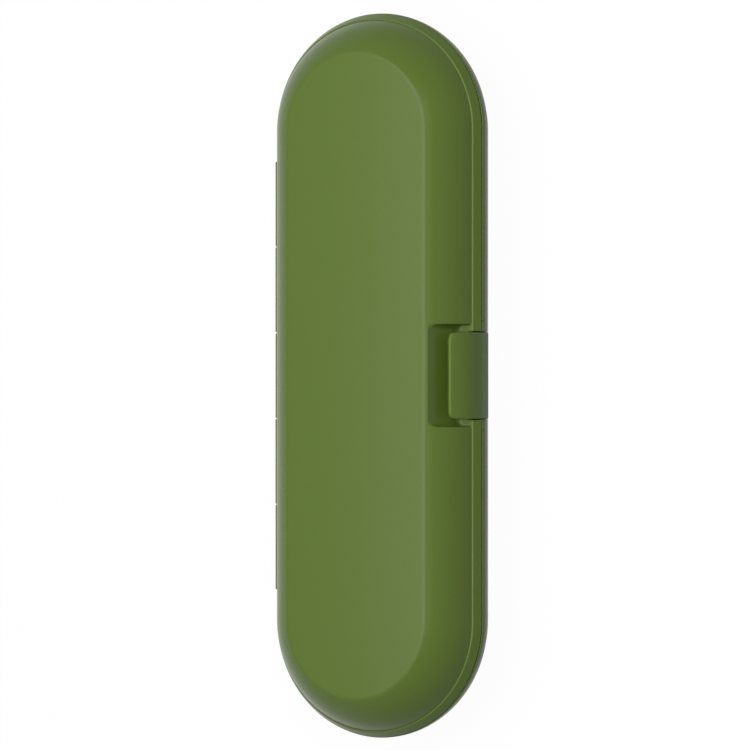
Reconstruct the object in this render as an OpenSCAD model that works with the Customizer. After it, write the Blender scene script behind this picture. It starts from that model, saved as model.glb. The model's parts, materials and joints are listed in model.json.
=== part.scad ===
// Travel case for an electric toothbrush.
// Two moulded half shells are joined by a barrel hinge along one long side and
// held shut by a flip latch on the other. A tray in the base holds the brush
// handle and two brush heads.
// The case lies on its flat back with the lid up. Its length runs along X, the
// hinge is on the +Y side, the latch is on the -Y side, and the origin is the
// centre of the back. Inside the modules heights are measured from the parting
// plane, where the lid meets the base, and widths from the middle of the case.

/* [Case] */
// Overall length of the shells
case_len = 210; // [200:1:225]
// Overall width of the shells, without the hinge
case_w = 68; // [67:0.5:74]
// Depth of the base from its back to the parting plane
base_h = 24; // [23:0.5:30]
// Height of the lid from the parting plane to the edge of its flat face
lid_h = 15; // [14:0.5:18]
// Rise of the lid's face from its edge to its middle
lid_crown = 0.5; // [0.3:0.1:1]
// Wall thickness of both shells
wall = 2; // [1.6:0.1:2.2]
// Free gap between the closed lid and the base
seam_gap = 0.3; // [0.1:0.05:0.4]

/* [Rim] */
// Height of the raised band round the lid's rim
lid_band_h = 3.2; // [2.8:0.1:3.6]
// Height of the raised band round the base's rim
base_band_h = 4.2; // [3.8:0.1:4.6]
// How far the lid's band slopes in from the seam to its top
lid_band_slope = 1.6; // [1:0.05:1.8]
// How far the top of the lid's band stands out from the lid's side
lid_step = 0.4; // [0.3:0.1:0.8]
// How far the foot of the base's band stands out from the base's side
base_step = 1.05; // [0.8:0.05:1.3]
// Thickness of the shells at the rim, band included
rim_wall = 3.3; // [3:0.1:3.6]

/* [Curves] */
// Distance from the rim to the edge of the lid's flat face
face_inset = 11.5; // [10:0.5:12.5]
// Radius of the bowed side of the lid
lid_side_r = 22; // [19:1:25]
// Radius of the bowed band of the base
base_band_r = 9; // [8:0.5:12]
// Radius of the bowed side of the base
base_side_r = 56; // [50:1:62]
// Lean of the base's side just under its band, in degrees
base_side_lean = 17.2; // [15.2:0.4:19.2]

/* [Hinge] */
// Length of the hinge barrel
hinge_len = 125; // [100:1:135]
// Number of knuckles, the outer two on the base
hinge_knuckles = 5; // [3:2:9]
// Outer radius of the hinge barrel
hinge_r = 2.2; // [1.9:0.1:2.4]
// Depth of the hinge axis under the parting plane
hinge_drop = 3.2; // [3:0.1:3.6]
// Diameter of the hinge pin
hinge_pin_d = 2; // [1.5:0.1:2.2]
// Free gap between two knuckles
knuckle_gap = 0.2; // [0.15:0.05:0.65]

/* [Latch] */
// Width of the latch along the case
latch_w = 25; // [20:0.5:28]
// Thickness of the latch plate
latch_t = 1.9; // [1.6:0.1:2.1]
// Height of the latch's upper edge over the parting plane
latch_top = 10.7; // [10.2:0.1:11.2]
// Radius of the latch's bowed face
latch_bow_r = 15.2; // [14.4:0.2:16]
// Angle through which the latch's face bows from upright, in degrees
latch_bow = 50; // [46:1:54]
// How far the latch lies inside the outer face of the bands
latch_inset = 0.2; // [0.1:0.05:0.4]
// Outer radius of the latch barrel
latch_r = 2.1; // [1.9:0.1:2.3]
// Depth of the latch axis under the parting plane
latch_drop = 3; // [2.8:0.1:3.3]
// Diameter of the latch pin
latch_pin_d = 2; // [1.5:0.1:2.2]
// Engagement of the latch's hook over the lid's catch
hook_reach = 1.1; // [0.8:0.1:1.3]
// Length of the finger recess in the lid beyond the latch, each end
recess_margin = 2.2; // [1.5:0.1:4]
// Distance of the recess's back wall from the edge of the lid's face
recess_back = 0.8; // [0.6:0.1:1.4]
// Lean of the recess's back wall from upright, in degrees
recess_lean = 21; // [15:1:24]
// Radius of the hollow at the foot of the recess
recess_fillet = 2; // [1:0.2:3.4]

/* [Tray] */
// Thickness of the tray's skin
tray_t = 1.2; // [1:0.1:1.3]
// Height of the tray's locating lip above the parting plane
lip_h = 1.5; // [1:0.1:1.8]
// Diameter of the brush handle that the trough holds
handle_d = 28; // [24:0.5:28.5]
// Thickness of the soft saddles under the handle
saddle_t = 0.9; // [0.6:0.1:1]
// Length of one soft saddle along the handle
saddle_len = 16; // [10:1:24]
// Distance of each saddle from the middle of the trough
saddle_x = 48; // [30:1:60]
// Diameter of the pocket for a brush head
head_d = 16; // [14:0.5:16.5]
// Length of the pocket for a brush head
head_len = 82; // [70:1:86]
// Thickness of the soft collars that grip the heads
collar_t = 0.8; // [0.6:0.1:1]
// Length of one soft collar along the head
collar_len = 9; // [6:1:12]
// Length of one soft pad in the lid
pad_len = 34; // [20:1:44]
// Width of one soft pad in the lid
pad_w = 14; // [8:1:18]
// Thickness of the soft pads in the lid
pad_t = 1.8; // [1.2:0.1:2]

/* [Fits] */
// Radial clearance of a pin in its bore
pin_fit = 0.05; // [0.03:0.01:0.1]
// Clearance round a moving piece
run_gap = 0.3; // [0.25:0.05:0.4]
// Clearance of a fitted insert in its seat
seat_gap = 0.2; // [0.15:0.05:0.3]
// Free gap on each side of the latch in its notch
latch_side_gap = 0.25; // [0.15:0.05:0.4]
// Free gap between each end of a pin and the end of its bore
pin_end_gap = 0.5; // [0.3:0.1:0.8]
// Radial clearance of the brush handle on its saddles
handle_fit = 0.1; // [0.05:0.05:0.2]

/* [Hidden] */
$fn = 96;
olive = "#62773c";
tray_green = "#55643a";
soft_grey = "#3c3f3a";
steel = "#b9bcc0";

rim_r = case_w / 2;
end_x = case_len / 2 - rim_r;
rim_in = rim_r - rim_wall;
face_r = rim_r - face_inset;
band_top_r = rim_r - lid_band_slope;

// A cutting shape reaches far past the case, and joined shapes overlap a little.
reach = case_w;
overlap = 1;

// The hollow of the lid's rim clears the tray's lip.
lip_room = lip_h + 2 * run_gap;

// The lid's side is one arc from the top of the band to the edge of the face.
side_foot = [band_top_r - lid_step, lid_band_h];
side_head = [face_r, lid_h];
side_chord = side_head - side_foot;
side_rise = sqrt(pow(lid_side_r, 2) - pow(norm(side_chord) / 2, 2)) / norm(side_chord);
side_c = (side_foot + side_head) / 2 + side_rise * [-side_chord[1], side_chord[0]];
crown_r = (pow(face_r, 2) + pow(lid_crown, 2)) / (2 * lid_crown);
crown_facets = 720;

// The base's band starts upright at the seam and its side leans in below it.
band_flat = 0.6;
band_foot = sqrt(pow(base_band_r, 2) - pow(base_band_h - band_flat, 2)) - base_band_r;
base_side_y = rim_r + band_foot - base_step;
base_c = [
  base_side_y - base_side_r * cos(base_side_lean),
  base_side_r * sin(base_side_lean) - base_band_h
];

// The hinge axis lies under the rim's outer face, so the lid folds right back.
hinge_y = rim_r;
knuckle_pitch = hinge_len / hinge_knuckles;
arm_t = 1.6;
arm_slope = 29;
arm_run = (hinge_y + hinge_r * cos(arm_slope) - rim_r) / sin(arm_slope);
arm_top = hinge_r * sin(arm_slope) + arm_run * cos(arm_slope) - hinge_drop;

// The latch swings on an axis inside the base's band.
latch_y = rim_r - latch_inset - latch_r;
latch_in_y = latch_y + latch_r - latch_t;

// The circles of the latch's bow pass a little over its upright faces, which trim them.
bow_cut = 0.05;
latch_c = [latch_y + latch_r + bow_cut - latch_bow_r, latch_top - latch_bow_r * sin(latch_bow)];
latch_in_r = latch_bow_r - latch_t;
hook_z = lid_band_h + run_gap;
catch_y = latch_c[0] + sqrt(pow(latch_in_r, 2) - pow(hook_z - latch_c[1], 2)) - run_gap;
hook_y = catch_y - hook_reach;
hook_tip = 0.8;
hook_root_h = 2.2;
latch_corner = 1.5;

// The latch's outline stands a little over the plate's end, so only its corners trim it.
front_over = 0.02;
latch_notch_w = latch_w + 2 * latch_side_gap;
lug_t = 3;
lug_cover = 0.5;
latch_bore_len = latch_notch_w + 2 * (lug_t - lug_cover);
boss_wall = 1.4;
boss_y = latch_y - latch_r - run_gap - boss_wall;
boss_w = latch_notch_w + 2 * lug_t;
boss_bottom = -latch_drop - latch_r - run_gap - boss_wall;
recess_w = latch_w + 2 * recess_margin;
recess_y = face_r + recess_back;
recess_wall = 1.6;
recess_foot_y = recess_y + (lid_h - lid_band_h) * tan(recess_lean);
recess_skin = recess_wall / cos(recess_lean);

// The hollow at the recess's foot touches both its back wall and its shelf.
recess_bend = [
  recess_y + (recess_fillet + (lid_h - lid_band_h - recess_fillet) * sin(recess_lean)) / cos(recess_lean),
  lid_band_h + recess_fillet
];

// The tray hangs on a ledge inside the base's rim.
tray_r = rim_in - run_gap;
tray_seat = 1.2;
tray_top = -1;
tray_under = tray_top - tray_t;
seat_drop = 0.1;
seat_z = tray_under - seat_drop;
trough_r = handle_d / 2 + saddle_t + handle_fit;
trough_out = trough_r + tray_t;
trough_z = -3;
// The trough clears both the upright wall under the ledge and the bowed side.
bowl_r = base_side_r - wall - seat_gap - trough_out;
trough_reach = min(
  rim_in - tray_seat - seat_gap - trough_out,
  base_c[0] + sqrt(pow(bowl_r, 2) - pow(trough_z - base_c[1], 2))
);
trough_inset = 0.3;
trough_y = trough_reach - trough_inset;
trough_x = end_x + sqrt(pow(trough_reach, 2) - pow(trough_y, 2));
head_r = head_d / 2;
head_out = head_r + tray_t;
head_y = trough_y - trough_r - tray_t - head_r;
head_spacing = 10;
head_x = (head_len + head_spacing) / 2;
tray_notch_w = max(boss_w, recess_w + 2 * recess_wall) + 2 * run_gap;
tray_notch_y = boss_y - run_gap;
collar_inset = 2;
collar_x = head_x - head_len / 2 + head_r + collar_len / 2 + collar_inset;
lining_fit = 0.02;
pad_z = lid_h - wall - pad_t;
pad_x = saddle_x;

// Carries a half profile, drawn from the middle outwards, round the case's outline.
module round_the_case(half_len) {
  rotate([90, 0, 90]) linear_extrude(2 * half_len, center = true) {
    children();
    mirror([1, 0]) children();
  }
  translate([half_len, 0, 0]) rotate([0, 0, -90]) rotate_extrude(angle = 180) children();
  translate([-half_len, 0, 0]) rotate([0, 0, 90]) rotate_extrude(angle = 180) children();
}

// Carries a profile of width and height along X, centred on the case's middle.
module along(length) {
  rotate([90, 0, 90]) linear_extrude(length, center = true) children();
}

// The same on the latch's side, with the profile's width measured outwards.
module along_latch_side(length) {
  mirror([0, 1, 0]) along(length) children();
}

// A box from its lowest and highest corners.
module span(low, high) {
  translate(low) cube(high - low);
}

// A channel with round ends and a round bottom, its axis at height 0, open upwards.
module channel(radius, half_len, height) {
  round_the_case(half_len) {
    intersection() {
      circle(radius);
      translate([0, -radius]) square(radius);
    }
    square([radius, height]);
  }
}

// Lifts a piece from the parting plane's height to its place over the back.
module placed() {
  translate([0, 0, base_h]) children();
}

module lid_outline() {
  polygon([[0, seam_gap], [rim_r, seam_gap], [band_top_r, lid_band_h], [0, lid_band_h]]);
  intersection() {
    translate([0, lid_h + lid_crown - crown_r]) circle(crown_r, $fn = crown_facets);
    union() {
      translate([0, seam_gap]) square([side_c[0], lid_h + overlap]);
      intersection() {
        translate(side_c) circle(lid_side_r);
        translate([0, seam_gap]) square([side_foot[0], lid_h + overlap]);
      }
    }
  }
}

module lid_hollow() {
  translate([0, -overlap]) square([rim_in, overlap + lip_room]);
  square([face_r - wall, lid_h - wall]);
  intersection() {
    translate(side_c) circle(lid_side_r - wall);
    square([rim_in, lid_h - wall]);
  }
}

module base_outline() {
  translate([0, -band_flat]) square([rim_r, band_flat]);
  intersection() {
    translate([rim_r - base_band_r, -band_flat]) circle(base_band_r);
    translate([rim_r - base_band_r, -base_band_h]) square([base_band_r, base_band_h - band_flat]);
  }
  translate([0, -base_band_h]) square([rim_r - base_band_r, base_band_h - band_flat]);
  intersection() {
    translate(base_c) circle(base_side_r);
    translate([0, -base_h]) square([rim_r, base_h - band_flat]);
  }
}

module base_hollow() {
  translate([0, seat_z]) square([rim_in, overlap - seat_z]);
  intersection() {
    translate(base_c) circle(base_side_r - wall);
    translate([0, wall - base_h]) square([rim_in - tray_seat, base_h - wall]);
  }
}

// The lengthwise middle of each knuckle, counted from the -X end.
function knuckle_x(i) = (i + 0.5) * knuckle_pitch - hinge_len / 2;

module on_hinge(i) {
  translate([knuckle_x(i), hinge_y, -hinge_drop]) rotate([0, 90, 0]) children();
}

module hinge_bore() {
  translate([0, hinge_y, -hinge_drop]) rotate([0, 90, 0])
    cylinder(h = hinge_len + 2 * overlap, r = hinge_pin_d / 2 + pin_fit, center = true);
}

module latch_bore(length) {
  translate([0, -latch_y, -latch_drop]) rotate([0, 90, 0])
    cylinder(h = length, r = latch_pin_d / 2 + pin_fit, center = true);
}

// Room in the base for one knuckle of the lid and its arm.
module knuckle_room(i) {
  room = knuckle_pitch + knuckle_gap;
  on_hinge(i) cylinder(h = room, r = hinge_r + run_gap, center = true);
  translate([knuckle_x(i), 0, 0]) {
    span([-room / 2, hinge_y - arm_t - run_gap, -hinge_drop], [room / 2, reach, overlap]);
    span([-room / 2, hinge_y, -hinge_drop - hinge_r - run_gap], [room / 2, reach, overlap]);
  }
}

module base_knuckle(i) {
  length = knuckle_pitch - knuckle_gap;
  on_hinge(i) cylinder(h = length, r = hinge_r, center = true);
  translate([knuckle_x(i), 0, 0])
    span([-length / 2, rim_in, -hinge_drop - hinge_r], [length / 2, hinge_y, -hinge_drop + hinge_r]);
}

module lid_knuckle(i) {
  length = knuckle_pitch - knuckle_gap;
  on_hinge(i) cylinder(h = length, r = hinge_r, center = true);
  translate([knuckle_x(i), 0, 0]) along(length) polygon([
    [hinge_y - arm_t, -hinge_drop],
    [hinge_y, -hinge_drop],
    [hinge_y + hinge_r * cos(arm_slope), hinge_r * sin(arm_slope) - hinge_drop],
    [rim_r, arm_top],
    [hinge_y - arm_t, arm_top + arm_t]
  ]);
}

// Room in both bands for the latch and its barrel.
module latch_room() {
  half = latch_notch_w / 2;
  span([-half, -reach, -latch_drop - latch_r - run_gap],
    [half, -latch_y + latch_r + run_gap, overlap]);
}

module base_shell() {
  color(olive) placed() difference() {
    union() {
      difference() {
        round_the_case(end_x) base_outline();
        round_the_case(end_x) base_hollow();
      }
      intersection() {
        round_the_case(end_x) base_outline();
        span([-boss_w / 2, -reach, boss_bottom], [boss_w / 2, -boss_y, 0]);
      }
      for (i = [0 : 2 : hinge_knuckles - 1]) base_knuckle(i);
    }
    for (i = [1 : 2 : hinge_knuckles - 1]) knuckle_room(i);
    hinge_bore();
    latch_room();
    latch_bore(latch_bore_len);
  }
}

module base_tray() {
  color(tray_green) placed() difference() {
    union() {
      round_the_case(end_x) translate([0, tray_under]) square([tray_r, tray_t]);
      round_the_case(end_x) translate([tray_r - tray_t, tray_under])
        square([tray_t, lip_h - tray_under]);
      translate([0, trough_y, trough_z])
        channel(trough_out, trough_x, tray_top - trough_z);
      for (side = [-1, 1]) translate([side * head_x, head_y, trough_z])
        channel(head_out, head_len / 2 - head_r, tray_top - trough_z);
    }
    translate([0, trough_y, trough_z]) channel(trough_r, trough_x, lip_h - trough_z);
    for (side = [-1, 1]) translate([side * head_x, head_y, trough_z])
      channel(head_r, head_len / 2 - head_r, lip_h - trough_z);
    span([-tray_notch_w / 2, -reach, -base_h], [tray_notch_w / 2, -tray_notch_y, lip_h + overlap]);
  }
}

// A soft strip lining the round bottom of a channel.
module lining(radius, thickness, length) {
  along(length) intersection() {
    difference() {
      circle(radius - lining_fit);
      circle(radius - thickness);
    }
    translate([-radius, -radius]) square([2 * radius, radius]);
  }
}

module saddle(side) {
  color(soft_grey) placed() translate([side * saddle_x, trough_y, trough_z])
    lining(trough_r, saddle_t, saddle_len);
}

module saddle_upper() { saddle(1); }

module saddle_lower() { saddle(-1); }

module head_collar(side) {
  color(soft_grey) placed() translate([side * collar_x, head_y, trough_z])
    lining(head_r, collar_t, collar_len);
}

module head_collar_upper() { head_collar(1); }

module head_collar_lower() { head_collar(-1); }

module lid_pad(side) {
  color(soft_grey) placed() translate([side * pad_x, trough_y, pad_z + pad_t / 2])
    cube([pad_len, pad_w, pad_t], center = true);
}

module lid_pad_upper() { lid_pad(1); }

module lid_pad_lower() { lid_pad(-1); }

module hinge_pin() {
  color(steel) placed() translate([0, hinge_y, -hinge_drop]) rotate([0, 90, 0])
    cylinder(h = hinge_len - 2 * pin_end_gap, d = hinge_pin_d, center = true);
}

module latch_pin() {
  color(steel) placed() translate([0, -latch_y, -latch_drop]) rotate([0, 90, 0])
    cylinder(h = latch_bore_len - 2 * pin_end_gap, d = latch_pin_d, center = true);
}

// The width of the middle of the latch plate's bowed part at a height.
function plate_middle(height) =
  latch_c[0] + sqrt(pow(latch_bow_r - latch_t / 2, 2) - pow(height - latch_c[1], 2));

// What lies inside one of the latch's faces: under its circle, and behind its upright part.
module inside_latch_face(radius, upright_y, start_y, bottom) {
  intersection() {
    union() {
      translate(latch_c) circle(radius);
      translate([start_y, bottom]) square([reach, latch_c[1] - bottom]);
    }
    translate([start_y, bottom]) square([upright_y - start_y, lid_h - bottom]);
  }
}

// The latch plate in section: upright over its barrel, then bowed in over the lid.
module latch_section() {
  difference() {
    inside_latch_face(latch_bow_r, latch_in_y + latch_t, latch_c[0], -latch_drop);
    inside_latch_face(latch_in_r, latch_in_y, 0, -latch_drop - overlap);
    translate(latch_c) rotate(latch_bow) square(reach);
  }
  translate([latch_y, -latch_drop]) circle(latch_r);
  polygon([
    [hook_y, hook_z], [plate_middle(hook_z), hook_z],
    [plate_middle(hook_z + hook_root_h), hook_z + hook_root_h], [hook_y, hook_z + hook_tip]
  ]);
}

// The latch seen from its side of the case, with its two upper corners rounded.
module latch_front() {
  half = latch_w / 2 - latch_corner;
  top = latch_top + front_over;
  translate([-latch_w / 2, -latch_drop - latch_r - overlap])
    square([latch_w, latch_drop + latch_r + overlap + top - latch_corner]);
  translate([-half, 0]) square([2 * half, top]);
  for (side = [-1, 1]) translate([side * half, top - latch_corner]) circle(latch_corner);
}

module latch() {
  color(olive) placed() difference() {
    intersection() {
      along_latch_side(latch_w) latch_section();
      rotate([90, 0, 0]) linear_extrude(reach) latch_front();
    }
    latch_bore(latch_w + 2 * overlap);
  }
}

// The finger recess in section: a leaning back, a hollow foot and a shelf.
module recess_section() {
  difference() {
    polygon([[recess_y, lid_h], [reach, lid_h], [reach, lid_band_h], [recess_foot_y, lid_band_h]]);
    difference() {
      polygon([
        [recess_foot_y, lid_band_h], [recess_bend[0], lid_band_h], recess_bend,
        recess_bend - recess_fillet * [cos(recess_lean), sin(recess_lean)]
      ]);
      translate(recess_bend) circle(recess_fillet);
    }
  }
}

// The solid round the recess in section, one wall behind its leaning back.
module recess_boss_section() {
  polygon([
    [recess_y - recess_skin, lid_h], [reach, lid_h], [reach, seam_gap],
    [recess_foot_y - recess_skin, seam_gap], [recess_foot_y - recess_skin, lid_band_h]
  ]);
}

module lid_shell() {
  color(olive) placed() difference() {
    union() {
      difference() {
        round_the_case(end_x) lid_outline();
        round_the_case(end_x) lid_hollow();
      }
      intersection() {
        round_the_case(end_x) lid_outline();
        along_latch_side(recess_w + 2 * recess_wall) recess_boss_section();
      }
      for (i = [1 : 2 : hinge_knuckles - 1]) lid_knuckle(i);
    }
    along_latch_side(recess_w) recess_section();
    span([-latch_notch_w / 2, -reach, -overlap],
      [latch_notch_w / 2, -catch_y, lid_band_h + overlap]);
    hinge_bore();
  }
}

base_shell();
base_tray();
saddle_upper();
saddle_lower();
head_collar_upper();
head_collar_lower();
hinge_pin();
latch_pin();
latch();
lid_shell();
lid_pad_upper();
lid_pad_lower();
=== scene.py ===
"""The looks of a travel case for an electric toothbrush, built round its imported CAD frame.

Every form is a surface worked out with numpy. Sizes are in millimetres, heights are measured from the
parting plane where the lid meets the base, and widths run outwards from the middle of the case.
"""

from __future__ import annotations

import json
import logging
import math
from dataclasses import dataclass, field
from enum import Enum
from typing import Any, Sequence

import bmesh
import bpy
import numpy as np
from mathutils import Matrix, Vector
from mathutils.geometry import delaunay_2d_cdt

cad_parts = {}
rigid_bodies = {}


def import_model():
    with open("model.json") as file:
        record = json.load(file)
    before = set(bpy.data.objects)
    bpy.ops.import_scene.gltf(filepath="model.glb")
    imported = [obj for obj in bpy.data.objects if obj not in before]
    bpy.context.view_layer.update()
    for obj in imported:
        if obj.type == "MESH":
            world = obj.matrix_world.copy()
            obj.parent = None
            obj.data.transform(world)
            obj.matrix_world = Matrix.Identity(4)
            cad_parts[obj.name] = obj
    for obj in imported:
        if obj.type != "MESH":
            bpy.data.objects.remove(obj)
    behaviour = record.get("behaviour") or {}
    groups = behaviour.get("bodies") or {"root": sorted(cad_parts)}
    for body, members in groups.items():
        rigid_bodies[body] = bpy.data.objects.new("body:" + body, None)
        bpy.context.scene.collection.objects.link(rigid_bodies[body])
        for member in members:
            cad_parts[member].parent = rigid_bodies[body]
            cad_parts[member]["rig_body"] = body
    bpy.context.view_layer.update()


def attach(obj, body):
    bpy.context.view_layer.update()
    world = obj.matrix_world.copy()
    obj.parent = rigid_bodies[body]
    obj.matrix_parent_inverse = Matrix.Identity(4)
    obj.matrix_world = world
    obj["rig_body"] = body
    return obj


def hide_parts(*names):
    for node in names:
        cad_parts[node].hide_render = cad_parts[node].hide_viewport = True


Array = np.ndarray
LOG = logging.getLogger("travel_case")
MM = 0.001
LIFT = 24.0
GUARD = 0.12
MERGE = 2e-6


class Body(Enum):
    """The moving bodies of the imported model."""

    BASE = "base"
    LID = "lid"
    LATCH = "latch"


class Slot(Enum):
    """The record's material slots."""

    SHELL = "olive_shell"
    TRAY = "tray_plastic"
    RUBBER = "soft_rubber"
    STEEL = "pin_steel"


# Lines and outlines


def line(*points: tuple[float, float]) -> Array:
    """A polyline through the given points."""
    return np.array(points, float)


def arc(centre: Sequence[float], radius: float, start: float, end: float, count: int) -> Array:
    """Points of a circle, centre + radius * (cos a, sin a), with a running evenly between two angles.

    Args:
        centre: The circle's centre.
        radius: Its radius.
        start: The first angle in degrees.
        end: The last angle in degrees.
        count: How many points.

    Returns:
        The points, one a row.
    """
    a = np.radians(np.linspace(start, end, count))
    return np.column_stack([centre[0] + radius * np.cos(a), centre[1] + radius * np.sin(a)])


def lengths(path: Array) -> Array:
    """The distance along a polyline to each of its points."""
    return np.concatenate([[0.0], np.cumsum(np.linalg.norm(np.diff(path, axis=0), axis=1))])


def at_lengths(path: Array, where: Array) -> Array:
    """The points of a polyline at the given distances along it."""
    along = lengths(path)
    return np.column_stack([np.interp(where, along, path[:, k]) for k in range(path.shape[1])])


def trimmed(path: Array, head: float, tail: float) -> Array:
    """The middle of a polyline, with a guard point close to each end that was cut.

    Args:
        path: The polyline.
        head: The length cut from its start.
        tail: The length cut from its end.

    Returns:
        The points that are left.
    """
    along = lengths(path)
    low, high = head, along[-1] - tail
    guard = min(GUARD, (high - low) / 4)
    inner = along[(along > low + 1.5 * guard) & (along < high - 1.5 * guard)]
    marks = [low, *([low + guard] if head > 0 else []), *inner]
    marks += [*([high - guard] if tail > 0 else []), high]
    return at_lengths(path, np.array(marks))


def rounded(paths: Sequence[Array], radii: Sequence[float], closed: bool = False) -> Array:
    """Polylines laid end to end, each corner between two of them rounded by a circle tangent to both.

    A circle of radius r at a corner that turns by t starts r * tan(t / 2) before it.

    Args:
        paths: The polylines, each starting where the one before ends.
        radii: The radius at each corner, 0 for a sharp one. A closed outline has one for its last corner.
        closed: Whether the last polyline ends where the first starts.

    Returns:
        The points of the whole line. A closed one doesn't repeat its first point.
    """
    count = len(paths)
    corners: list[tuple[float, Array]] = []
    for i, radius in enumerate(radii):
        before, after = paths[i], paths[(i + 1) % count]
        u, v = before[-1] - before[-2], after[1] - after[0]
        u, v = u / np.linalg.norm(u), v / np.linalg.norm(v)
        cross = u[0] * v[1] - u[1] * v[0]
        turn = math.atan2(abs(cross), float(u @ v))
        cut = radius * math.tan(turn / 2)
        side = math.copysign(1.0, cross)
        centre = before[-1] - u * cut + side * radius * np.array([-u[1], u[0]])
        steps = max(2, int(round(math.degrees(turn) / 13)) + 1)
        a = np.linspace(0, turn, steps + 1)[1:-1] * side
        start = (before[-1] - u * cut) - centre
        bend = np.column_stack([start[0] * np.cos(a) - start[1] * np.sin(a),
                                start[0] * np.sin(a) + start[1] * np.cos(a)]) + centre
        corners.append((cut, bend if radius > 0 else np.empty((0, 2))))
    pieces: list[Array] = []
    for i, path in enumerate(paths):
        head = corners[i - 1][0] if (i > 0 or closed) else 0.0
        tail = corners[i][0] if i < len(corners) else 0.0
        part = trimmed(path, head, tail)
        sharp = i > 0 and radii[i - 1] == 0
        pieces.append(part[1:] if sharp else part)
        if i < len(corners):
            pieces.append(corners[i][1])
    whole = np.vstack(pieces)
    return whole[:-1] if closed and radii[-1] == 0 else whole


def matched(sections: Sequence[Array]) -> list[Array]:
    """The same number of points on several polylines, at each share of the length where any has one."""
    shares = [lengths(s) / lengths(s)[-1] for s in sections]
    marks = np.sort(np.concatenate(shares))
    keep = np.concatenate([[True], np.diff(marks) > 0.0012])
    marks = marks[keep]
    marks[-1] = 1.0
    return [at_lengths(s, marks * lengths(s)[-1]) for s in sections]


def inset(outline: Array, depth: float) -> Array:
    """A closed outline, drawn anticlockwise, moved inwards along its own normals by depth."""
    step = np.roll(outline, -1, axis=0) - np.roll(outline, 1, axis=0)
    normal = np.column_stack([step[:, 1], -step[:, 0]]) / np.linalg.norm(step, axis=1)[:, None]
    return outline - depth * normal


# Meshes


def grid_faces(rows: int, columns: int, wrap_rows: bool = False, wrap_columns: bool = False) -> Array:
    """The four-sided faces of a grid of points stored row by row, joined round where it wraps."""
    r = np.arange(rows if wrap_rows else rows - 1)[:, None]
    c = np.arange(columns if wrap_columns else columns - 1)[None, :]
    r2, c2 = (r + 1) % rows, (c + 1) % columns
    corners = np.broadcast_arrays(r * columns + c, r * columns + c2, r2 * columns + c2, r2 * columns + c)
    return np.stack(corners, axis=-1).reshape(-1, 4)


@dataclass
class Surface:
    """Points and faces that grow into one mesh."""

    points: list[Array] = field(default_factory=list)
    faces: list[list[int]] = field(default_factory=list)
    total: int = 0

    def add(self, points: Array, faces: Array | Sequence[Sequence[int]]) -> None:
        """Adds points in millimetres, one a row, and faces that count from the first of them."""
        self.points.append(points.reshape(-1, 3))
        rows = faces.tolist() if isinstance(faces, np.ndarray) else faces
        self.faces += [[self.total + i for i in face] for face in rows]
        self.total += len(self.points[-1])

    def add_grid(self, grid: Array, wrap_rows: bool = False, wrap_columns: bool = False) -> None:
        """Adds a grid of points with its faces."""
        self.add(grid, grid_faces(grid.shape[0], grid.shape[1], wrap_rows, wrap_columns))

    def build(self, name: str, closed: bool = True) -> bpy.types.Object:
        """Makes the object: doubles merged, lifted over the back, and its faces outwards if it is closed.

        Args:
            name: The object's name.
            closed: Whether the surface encloses a volume, whose sign then says which way the faces point.

        Returns:
            The object, at the origin.
        """
        mesh = bpy.data.meshes.new(name)
        points = np.vstack(self.points) * MM
        points[:, 2] += LIFT * MM
        mesh.from_pydata(points.tolist(), [], self.faces)
        work = bmesh.new()
        work.from_mesh(mesh)
        bmesh.ops.remove_doubles(work, verts=work.verts, dist=MERGE)
        bmesh.ops.dissolve_degenerate(work, edges=work.edges, dist=MERGE)
        if closed and work.calc_volume(signed=True) < 0:
            bmesh.ops.reverse_faces(work, faces=work.faces)
        work.to_mesh(mesh)
        work.free()
        mesh.polygons.foreach_set("use_smooth", np.ones(len(mesh.polygons), bool))
        mesh.update()
        piece = bpy.data.objects.new(name, mesh)
        bpy.context.scene.collection.objects.link(piece)
        return piece


def flat_faces(loops: Sequence[Array]) -> tuple[Array, list[list[int]]]:
    """Fills a flat outline with holes by a constrained Delaunay triangulation.

    A triangle is kept if a line from its middle along the first axis crosses the loops an odd number
    of times.

    Args:
        loops: The outer outline and then the holes, as rows of two numbers.

    Returns:
        The points and the faces, which run anticlockwise.
    """
    points = [Vector(p) for loop in loops for p in loop.tolist()]
    ends = np.cumsum([0] + [len(loop) for loop in loops])
    rings = [list(range(int(a), int(b))) for a, b in zip(ends, ends[1:])]
    edges = [(ring[i - 1], ring[i]) for ring in rings for i in range(len(ring))]
    found, _, corners, _, _, _ = delaunay_2d_cdt(points, edges, [], 0, 1e-7)
    spots, faces = np.array([tuple(p) for p in found]), np.array([tuple(c) for c in corners])
    x, y = spots[faces].mean(axis=1).T[:, :, None]
    (ax, ay), (bx, by) = np.vstack(loops).T, np.vstack([np.roll(loop, -1, axis=0) for loop in loops]).T
    rise = np.where(ay == by, 1.0, by - ay)
    crossed = ((ay > y) != (by > y)) & (x < ax + (y - ay) * (bx - ax) / rise)
    faces = faces[crossed.sum(axis=1) % 2 == 1]
    a, b, c = (spots[faces[:, k]] for k in range(3))
    over = (b[:, 0] - a[:, 0]) * (c[:, 1] - a[:, 1]) < (b[:, 1] - a[:, 1]) * (c[:, 0] - a[:, 0])
    faces[over] = faces[over][:, ::-1]
    return spots, faces.tolist()


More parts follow.
